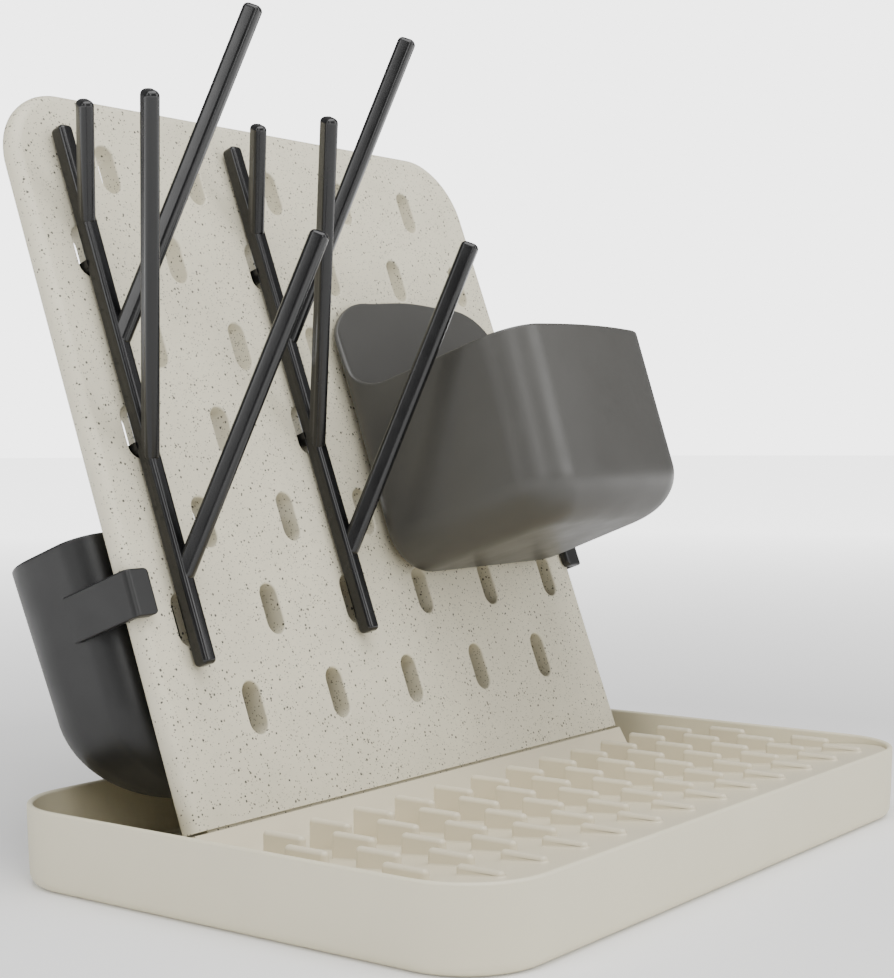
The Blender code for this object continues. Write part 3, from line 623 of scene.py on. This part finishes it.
def insert_mesh():
    """The draining floor: one side profile cut to the plan, with skirts, socket and ribs."""
    top_y, top_z = PLINTH_TOP_FRONT
    steep = tan(PLINTH_FACE_ANGLE)
    toe_y = (FLOOR_Z_AT_ORIGIN - top_z + top_y * steep) / (steep + FLOOR_SLOPE)
    heel_y = top_y + PLINTH_TOP_DEPTH * cos(BOARD_LEAN)
    heel_z = top_z - PLINTH_TOP_DEPTH * sin(BOARD_LEAN)
    start_y = SIDE_BAY_FRONT - 1.5 * SKIRT_INSET
    front_y = -TRAY_DEPTH / 2 - TRAY_CORNER
    profile = rounded([
        (front_y, floor_height(front_y) - FLOOR_SKIN, 0), (start_y, floor_height(start_y) - FLOOR_SKIN, 0),
        (start_y, SKIRT_FOOT, 0), (PLINTH_BACK, SKIRT_FOOT, 0),
        (PLINTH_BACK, heel_z - (PLINTH_BACK - heel_y), 0), (heel_y, heel_z, PLINTH_TOP_EDGE),
        (top_y, top_z, PLINTH_TOP_EDGE), (toe_y, floor_height(toe_y), PLINTH_TOE_EDGE),
        (front_y, floor_height(front_y), 0)])
    body = turned(slab("insert", [profile], -TRAY_WIDTH, TRAY_WIDTH), SIDE_ON)
    half, front, corner = floor_plan(FLOOR_SIDE_GAP, 0)
    plan = rounded([
        (-half, front, corner), (half, front, corner), (half, SIDE_BAY_FRONT, 0),
        (PLINTH_HALF_WIDTH, SIDE_BAY_FRONT, 0), (PLINTH_HALF_WIDTH, 2 * PLINTH_BACK, 0),
        (-PLINTH_HALF_WIDTH, 2 * PLINTH_BACK, 0), (-PLINTH_HALF_WIDTH, SIDE_BAY_FRONT, 0),
        (-half, SIDE_BAY_FRONT, 0)])
    body = combined(body, slab("plan", [plan], -TRAY_HEIGHT, 2 * TRAY_HEIGHT), "INTERSECT")
    body = combined(body, skirt_mesh(), "UNION")

    half_width = TONGUE_WIDTH / 2 + SOCKET_CLEARANCE
    middle = BOARD_THICKNESS / 2
    half_depth = TONGUE_THICKNESS / 2 + SOCKET_CLEARANCE
    socket = box_mesh(
        "socket", (-half_width, middle - half_depth, BOARD_FOOT - TONGUE_LENGTH - SOCKET_EXTRA_DEPTH),
        (half_width, middle + half_depth, BOARD_FOOT + SOCKET_EXTRA_DEPTH))
    body = combined(body, turned(socket, BOARD_PLACE), "DIFFERENCE")

    ribs = bmesh.new()
    for row in range(RIB_ROWS):
        count = RIBS_IN_FULL_ROW - (row + 1) % 2
        for i in range(count):
            x = (i - (count - 1) / 2) * RIB_PITCH_X
            add_loft(ribs, rib_rings(x, RIB_FIRST_Y - row * RIB_PITCH_Y))
    return combined(body, finish_mesh("ribs", ribs), "UNION")


def slot_rings(x, z):
    """A cutter for one slot, flared at both faces of the board so that its edges are rounded."""
    rings = []
    for side in (-1, 1):
        face = 0 if side < 0 else BOARD_THICKNESS
        flare = [(face + side * 2 * SLOT_EDGE, 0.97 * SLOT_EDGE)]
        for angle in (8, 25, 45, 65, 90):
            inward = SLOT_EDGE * (1 - cos(radians(angle)))
            flare.append((face - side * inward, SLOT_EDGE * (1 - sin(radians(angle)))))
        rings += flare if side < 0 else list(reversed(flare))
    outlines = [(y, capsule(SLOT_WIDTH, SLOT_LENGTH, grow, 14)) for y, grow in rings]
    return [[(x + px, y, z + pz) for px, pz in outline] for y, outline in outlines]


def board_mesh():
    half = BOARD_WIDTH / 2
    overrun = BOARD_FOOT - 4 * BOARD_EDGE
    outline = rounded([
        (-half, overrun, 0), (half, overrun, 0),
        (half, BOARD_TOP, BOARD_TOP_CORNER), (-half, BOARD_TOP, BOARD_TOP_CORNER)])
    board = turned(slab("board", [outline], -BOARD_THICKNESS, 0, BOARD_EDGE), STAND_UP)
    square_off = box_mesh(
        "foot_cut", (-BOARD_WIDTH, -BOARD_THICKNESS, 2 * overrun),
        (BOARD_WIDTH, 2 * BOARD_THICKNESS, BOARD_FOOT))
    board = combined(board, square_off, "DIFFERENCE")
    middle = BOARD_THICKNESS / 2
    tongue = box_mesh(
        "tongue", (-TONGUE_WIDTH / 2, middle - TONGUE_THICKNESS / 2, BOARD_FOOT - TONGUE_LENGTH),
        (TONGUE_WIDTH / 2, middle + TONGUE_THICKNESS / 2, BOARD_FOOT + BOARD_THICKNESS / 4))
    board = combined(board, tongue, "UNION")
    slots = bmesh.new()
    for x, z in slot_centres():
        add_loft(slots, slot_rings(x, z))
    return turned(combined(board, finish_mesh("slots", slots), "DIFFERENCE"), BOARD_PLACE)


def tree_mesh(x, rise):
    foot = (x, STEM_AXIS_Y, STEM_FOOT + rise)
    top = (x, STEM_AXIS_Y, STEM_TOP + rise)
    tree = stick_mesh("stem", foot, top, STEM_WIDTH, STEM_DEPTH, STEM_EDGE)
    for root, side, length in PEGS:
        start = Vector((x, STEM_AXIS_Y, root + rise))
        reach = Vector((side * PEG_DIRECTION[0], PEG_DIRECTION[1], PEG_DIRECTION[2])) * length
        peg = stick_mesh("peg", start, start + reach, PEG_WIDTH, PEG_DEPTH, PEG_EDGE)
        tree = combined(tree, peg, "UNION")
    for row in TREE_HOOK_ROWS:
        hook = hook_mesh("hook", x, slot_foot(row) + rise, STEM_AXIS_Y + STEM_DEPTH / 4)
        tree = combined(tree, hook, "UNION")
    return turned(tree, BOARD_PLACE)


def cup_rim_height(x, y):
    """The rim is level in front and sweeps up into the round-topped back panel."""
    centre_y = CUP_BACK_Y - CUP_WALL - CUP_SWEEP
    past = y - centre_y
    sweep = CUP_RIM
    if past > 0:
        sweep += CUP_SWEEP - sqrt(max(0, CUP_SWEEP ** 2 - past ** 2))
    if past >= 0.97 * CUP_SWEEP:
        sweep = CUP_TOP
    straight = CUP_HALF_WIDTH - CUP_PANEL_CORNER
    shoulder = CUP_TOP - CUP_PANEL_CROWN - CUP_PANEL_CORNER
    beyond = abs(x) - straight
    if beyond > 0:
        panel = shoulder + sqrt(max(0, CUP_PANEL_CORNER ** 2 - beyond ** 2))
    else:
        panel = shoulder + CUP_PANEL_CORNER + CUP_PANEL_CROWN * (1 - (x / straight) ** 2) ** 2
    return min(sweep, panel)


def cup_mesh():
    depth = CUP_BACK_Y - CUP_BOW_Y
    corners = [
        (-CUP_HALF_WIDTH, 0, CUP_BACK_CORNER), (CUP_HALF_WIDTH, 0, CUP_BACK_CORNER),
        (CUP_FRONT_HALF_WIDTH, CUP_BACK_Y - CUP_FRONT_Y, CUP_FRONT_CORNER), (0, depth, CUP_BOW_RADIUS),
        (-CUP_FRONT_HALF_WIDTH, CUP_BACK_Y - CUP_FRONT_Y, CUP_FRONT_CORNER)]
    edge = []
    for z, inset in edge_levels(CUP_FOOT, CUP_FOOT_EDGE, 18):
        back = CUP_BACK_Y - inset * CUP_BACK_FOOT_EDGE / CUP_FOOT_EDGE
        edge.append((z, CUP_HALF_WIDTH + CUP_SIDE_FLARE - inset, back, CUP_BOW_Y + CUP_FRONT_TAPER + inset))
    levels = flat_levels(edge[0], CUP_BOTTOM_INSETS) + edge
    top = (CUP_RIM, CUP_HALF_WIDTH, CUP_BACK_Y, CUP_BOW_Y)
    cup = tub_mesh("cup", corners, levels, top, CUP_WALL, cup_rim_height)
    cup.transform(Matrix.Translation((CUP_X, 0, 0)))
    for x in CUP_HOOK_X:
        hook = hook_mesh("hook", x, slot_foot(CUP_HOOK_ROW), CUP_BACK_Y - CUP_WALL / 2)
        cup = combined(cup, hook, "UNION")
    rest = box_mesh(
        "rest", (CUP_X - CUP_REST_HALF_WIDTH, CUP_BACK_Y - CUP_WALL / 2, CUP_REST_Z[0]),
        (CUP_X + CUP_REST_HALF_WIDTH, -GAP, CUP_REST_Z[1]), REST_EDGE)
    return turned(combined(cup, rest, "UNION"), BOARD_PLACE)


def arm_mesh(side):
    """An arm that reaches round the board's edge and ends in a lip in front of it."""
    outline = rounded([
        (side * ARM_OUTER_X, ARM_BACK_Y, 0), (side * ARM_OUTER_X, ARM_FRONT_Y, ARM_CORNER),
        (side * ARM_LIP_X, ARM_FRONT_Y, 1.5 * MM), (side * ARM_LIP_X, -GAP, 1 * MM),
        (side * ARM_INNER_X, -GAP, 0), (side * ARM_INNER_X, ARM_BACK_Y, 0)])
    if side > 0:
        outline = list(reversed(outline))
    arm = slab("arm", [outline], *ARM_Z, ARM_EDGE)
    low, high = ARM_Z
    beyond = side * 1.2 * ARM_OUTER_X
    face = rounded([
        (side * ARM_LIP_X, low, ARM_LIP_CORNER), (beyond, low, 0),
        (beyond, high, 0), (side * ARM_LIP_X, high, ARM_LIP_CORNER)])
    if side < 0:
        face = list(reversed(face))
    cut = turned(slab("lip_cut", [face], -2 * ARM_BACK_Y, 2 * ARM_BACK_Y), STAND_UP)
    return combined(arm, cut, "INTERSECT")


def caddy_mesh():
    half = CADDY_HALF_WIDTH
    depth = CADDY_BACK_Y - CADDY_FRONT_Y
    corners = [
        (-half, 0, CADDY_FRONT_CORNER), (half, 0, CADDY_FRONT_CORNER),
        (half, depth, CADDY_BACK_CORNER), (-half, depth, CADDY_BACK_CORNER)]
    edge = []
    for z, inset in edge_levels(CADDY_FOOT, CADDY_FOOT_EDGE, 22):
        share = inset / CADDY_FOOT_EDGE
        edge.append((z, half - CADDY_TAPER - inset, CADDY_FRONT_Y + share * CADDY_FRONT_FOOT_EDGE,
                     CADDY_BACK_Y - CADDY_TAPER - inset))
    levels = flat_levels(edge[0], CADDY_BOTTOM_INSETS) + edge
    top = (CADDY_RIM, half, CADDY_FRONT_Y, CADDY_BACK_Y)
    caddy = tub_mesh("caddy", corners, levels, top, CADDY_WALL, lambda x, y: CADDY_RIM)
    for side in (-1, 1):
        caddy = combined(caddy, arm_mesh(side), "UNION")
        middle = side * CADDY_REST_X
        rest = box_mesh(
            "rest", (middle - CADDY_REST_WIDTH / 2, BOARD_THICKNESS + GAP, CADDY_REST_Z[0]),
            (middle + CADDY_REST_WIDTH / 2, CADDY_FRONT_Y + CADDY_WALL / 2, CADDY_REST_Z[1]), REST_EDGE)
        caddy = combined(caddy, rest, "UNION")
    return turned(caddy, BOARD_PLACE)


# ------------------------------------------------------------------ materials
def linear(channel):
    """One channel from 0-255 display values to linear light."""
    value = channel / 255
    return value / 12.92 if value <= 0.04045 else ((value + 0.055) / 1.055) ** 2.4


def tint(colour, factor=1.0):
    return (*[min(1, linear(channel) * factor) for channel in colour], 1)


class Surface:
    """A Principled material and short ways to add nodes to it."""

    def __init__(self, name):
        self.material = bpy.data.materials.new(name)
        self.material.use_nodes = True
        self.tree = self.material.node_tree
        self.shader = self.tree.nodes["Principled BSDF"]
        self.place = self.tree.nodes.new("ShaderNodeTexCoord").outputs["Object"]

    def node(self, kind, **values):
        made = self.tree.nodes.new(kind)
        for key, value in values.items():
            setattr(made, key, value)
        return made

    def link(self, source, target):
        self.tree.links.new(source, target)

    def noise(self, size, detail=2.0, roughness=0.5):
        """Noise whose features are about size across, from 0 to 1."""
        made = self.node("ShaderNodeTexNoise")
        made.inputs["Scale"].default_value = 1 / size
        made.inputs["Detail"].default_value = detail
        made.inputs["Roughness"].default_value = roughness
        self.link(self.place, made.inputs["Vector"])
        return made.outputs["Fac"]

    def ranged(self, value, low, high, to_low, to_high):
        made = self.node("ShaderNodeMapRange")
        self.link(value, made.inputs["Value"])
        limits = (("From Min", low), ("From Max", high), ("To Min", to_low), ("To Max", to_high))
        for socket, number in limits:
            made.inputs[socket].default_value = number
        return made.outputs["Result"]

    def mixed(self, share, first, second):
        """first where share is 0, second where it is 1; each is a colour or a socket."""
        made = self.node("ShaderNodeMix", data_type="RGBA")
        self.link(share, made.inputs["Factor"])
        for socket, colour in (("A", first), ("B", second)):
            target = next(s for s in made.inputs if s.name == socket and s.type == "RGBA")
            if isinstance(colour, tuple):
                target.default_value = colour
            else:
                self.link(colour, target)
        return next(s for s in made.outputs if s.type == "RGBA")

    def calculated(self, operation, first, second):
        made = self.node("ShaderNodeMath", operation=operation)
        for socket, value in zip(made.inputs, (first, second)):
            if isinstance(value, (int, float)):
                socket.default_value = value
            else:
                self.link(value, socket)
        return made.outputs["Value"]

    def specks(self, cell, radius, share):
        """1 inside scattered specks up to radius across their middle, 0 elsewhere."""
        cells = self.node("ShaderNodeTexVoronoi", feature="F1")
        cells.inputs["Scale"].default_value = 1 / cell
        wobble = self.node("ShaderNodeVectorMath", operation="MULTIPLY_ADD")
        wander = self.node("ShaderNodeTexNoise")
        wander.inputs["Scale"].default_value = 1.2 / radius
        self.link(self.place, wander.inputs["Vector"])
        self.link(wander.outputs["Color"], wobble.inputs[0])
        wobble.inputs[1].default_value = (0.9 * radius,) * 3
        self.link(self.place, wobble.inputs[2])
        self.link(wobble.outputs["Vector"], cells.inputs["Vector"])
        split = self.node("ShaderNodeSeparateColor")
        self.link(cells.outputs["Color"], split.inputs["Color"])
        size = self.ranged(split.outputs["Red"], 1 - share, 1, 0, radius / cell)
        inside = self.calculated("SUBTRACT", size, cells.outputs["Distance"])
        return self.ranged(inside, 0, 0.12 * radius / cell, 0, 1)

    def grain(self, size, height):
        """A fine moulded texture as bump."""
        bump = self.node("ShaderNodeBump")
        bump.inputs["Strength"].default_value = 1
        bump.inputs["Distance"].default_value = height
        self.link(self.noise(size, 3, 0.6), bump.inputs["Height"])
        self.link(bump.outputs["Normal"], self.shader.inputs["Normal"])

    def gloss(self, size, low, high):
        """Roughness that wanders between two values."""
        self.link(self.ranged(self.noise(size), 0.3, 0.7, low, high), self.shader.inputs["Roughness"])


def moulded(name, colour, roughness, grain_height, warm=1.05):
    """Smooth moulded plastic with faint colour drift, uneven gloss and a fine grain."""
    surface = Surface(name)
    drift = surface.ranged(surface.noise(DRIFT_SIZE, 3), 0.3, 0.7, 0, 1)
    colours = surface.mixed(drift, tint(colour, 1 / warm), tint(colour, warm))
    surface.link(colours, surface.shader.inputs["Base Color"])
    surface.gloss(GLOSS_SIZE, roughness - 0.03, roughness + 0.04)
    surface.grain(GRAIN_SIZE, grain_height)
    surface.shader.inputs["IOR"].default_value = PLASTIC_IOR
    return surface.material


def speckled(name, colour, speck, roughness):
    """Pale moulded plastic with dark fibre specks of two sizes and faint cloudy blotches."""
    surface = Surface(name)
    drift = surface.ranged(surface.noise(CLOUD_SIZE, 4, 0.6), 0.3, 0.7, 0, 1)
    clouds = surface.mixed(drift, tint(colour, 0.955), tint(colour, 1.045))
    blotches = surface.ranged(surface.noise(BLOTCH_SIZE, 2), 0.6, 0.8, 0, 0.35)
    ground = surface.mixed(blotches, clouds, tint(colour, 0.86))
    fine = surface.calculated("MULTIPLY", surface.specks(*FINE_SPECKS[:3]), FINE_SPECKS[3])
    with_fine = surface.mixed(fine, ground, tint(speck, 1.6))
    coarse = surface.calculated("MULTIPLY", surface.specks(*COARSE_SPECKS[:3]), COARSE_SPECKS[3])
    colours = surface.mixed(coarse, with_fine, tint(speck))
    surface.link(colours, surface.shader.inputs["Base Color"])
    surface.gloss(BOARD_GLOSS_SIZE, roughness - 0.04, roughness + 0.05)
    surface.grain(BOARD_GRAIN_SIZE, BOARD_GRAIN_HEIGHT)
    return surface.material


# ------------------------------------------------------------------ putting pieces in the frame
def add_piece(name, mesh, material, body, node):
    mesh.name = name
    mesh.materials.append(material)
    mesh.shade_smooth()
    mesh.set_sharp_from_angle(angle=SHARP_ANGLE)
    piece = linked(name, mesh)
    normals = piece.modifiers.new("normals", "WEIGHTED_NORMAL")
    normals.keep_sharp = True
    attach(piece, body)
    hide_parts(node)
    return piece


tray_plastic = moulded("tray_matte", (220, 213, 188), 0.5, 0.008 * MM, 1.015)
floor_plastic = moulded("floor_smooth", (214, 205, 180), 0.32, 0.003 * MM, 1.015)
board_plastic = speckled("board_speckled", (209, 203, 181), (34, 31, 27), 0.5)
tree_plastic = moulded("tree_satin", (9, 9, 10), 0.24, 0.005 * MM)
cup_plastic = moulded("cup_satin", (64, 63, 60), 0.4, 0.006 * MM)
caddy_plastic = moulded("caddy_satin", (18, 18, 18), 0.42, 0.006 * MM)
foot_rubber = moulded("foot_rubber", (130, 127, 116), 0.8, 0.02 * MM)

add_piece("tray_shell", tray_mesh(), tray_plastic, "base", "drip_tray")
for number, place in enumerate(foot_centres(), 1):
    pad = foot_mesh(f"foot_pad_{number}", place)
    add_piece(f"foot_pad_{number}", pad, foot_rubber, "base", f"foot_{number}")
add_piece("ribbed_floor", insert_mesh(), floor_plastic, "floor", "drain_insert")
add_piece("slotted_board", board_mesh(), board_plastic, "board", "pegboard")
for side, tree_x, tree_rise in zip(("left", "right"), TREE_X, TREE_RISE):
    add_piece(
        f"branching_pegs_{side}", tree_mesh(tree_x, tree_rise), tree_plastic,
        f"tree_{side}", f"peg_tree_{side}")
add_piece("cup_shell", cup_mesh(), cup_plastic, "cup", "front_cup")
add_piece("caddy_shell", caddy_mesh(), caddy_plastic, "caddy", "rear_caddy")


# ------------------------------------------------------------------ studio
def add_camera():
    data = bpy.data.cameras.new("camera")
    data.lens = CAMERA_LENS
    data.sensor_width = CAMERA_SENSOR
    data.clip_start = 0.02
    camera = linked("camera", data)
    turn = Vector(CAMERA_LOOK).to_track_quat("-Z", "Y").to_matrix().to_4x4()
    camera.matrix_world = Matrix.Translation(CAMERA_AT) @ turn @ Matrix.Rotation(CAMERA_ROLL, 4, "Z")
    bpy.context.scene.camera = camera


def softbox(name, at, width, height, watts):
    """A rectangular area light that faces the middle of the rack."""
    data = bpy.data.lights.new(name, "AREA")
    data.shape = "RECTANGLE"
    data.size = width
    data.size_y = height
    data.energy = watts
    light = linked(name, data)
    turn = (Vector(RACK_MIDDLE) - Vector(at)).to_track_quat("-Z", "Y").to_matrix().to_4x4()
    light.matrix_world = Matrix.Translation(at) @ turn


def add_floor():
    bm = bmesh.new()
    bmesh.ops.create_circle(bm, cap_ends=True, radius=STUDIO_RADIUS, segments=96)
    floor = linked("studio_floor", finish_mesh("studio_floor", bm))
    paper = Surface("studio_paper")
    paper.shader.inputs["Base Color"].default_value = (0.9, 0.9, 0.9, 1)
    paper.shader.inputs["Emission Color"].default_value = (1, 1, 1, 1)
    away = paper.node("ShaderNodeVectorMath", operation="LENGTH")
    paper.link(paper.place, away.inputs[0])
    glow = paper.ranged(away.outputs["Value"], *GLOW_REACH, GLOW_NEAR, GLOW_FAR)
    paper.link(glow, paper.shader.inputs["Emission Strength"])
    paper.gloss(0.4, 0.88, 0.94)
    floor.data.materials.append(paper.material)


def add_world():
    """Dim light from all round, in front of a white backdrop."""
    world = bpy.data.worlds.new("studio")
    world.use_nodes = True
    tree = world.node_tree
    light = tree.nodes["Background"]
    light.inputs["Strength"].default_value = SKY_LIGHT
    backdrop = tree.nodes.new("ShaderNodeBackground")
    backdrop.inputs["Color"].default_value = (1, 1, 1, 1)
    light.inputs["Color"].default_value = (1, 1, 1, 1)
    backdrop.inputs["Strength"].default_value = BACKDROP
    either = tree.nodes.new("ShaderNodeMixShader")
    seen = tree.nodes.new("ShaderNodeLightPath")
    tree.links.new(seen.outputs["Is Camera Ray"], either.inputs["Fac"])
    tree.links.new(light.outputs["Background"], either.inputs[1])
    tree.links.new(backdrop.outputs["Background"], either.inputs[2])
    tree.links.new(either.outputs["Shader"], tree.nodes["World Output"].inputs["Surface"])
    bpy.context.scene.world = world


add_camera()
add_floor()
add_world()
for light in SOFTBOXES:
    softbox(*light)
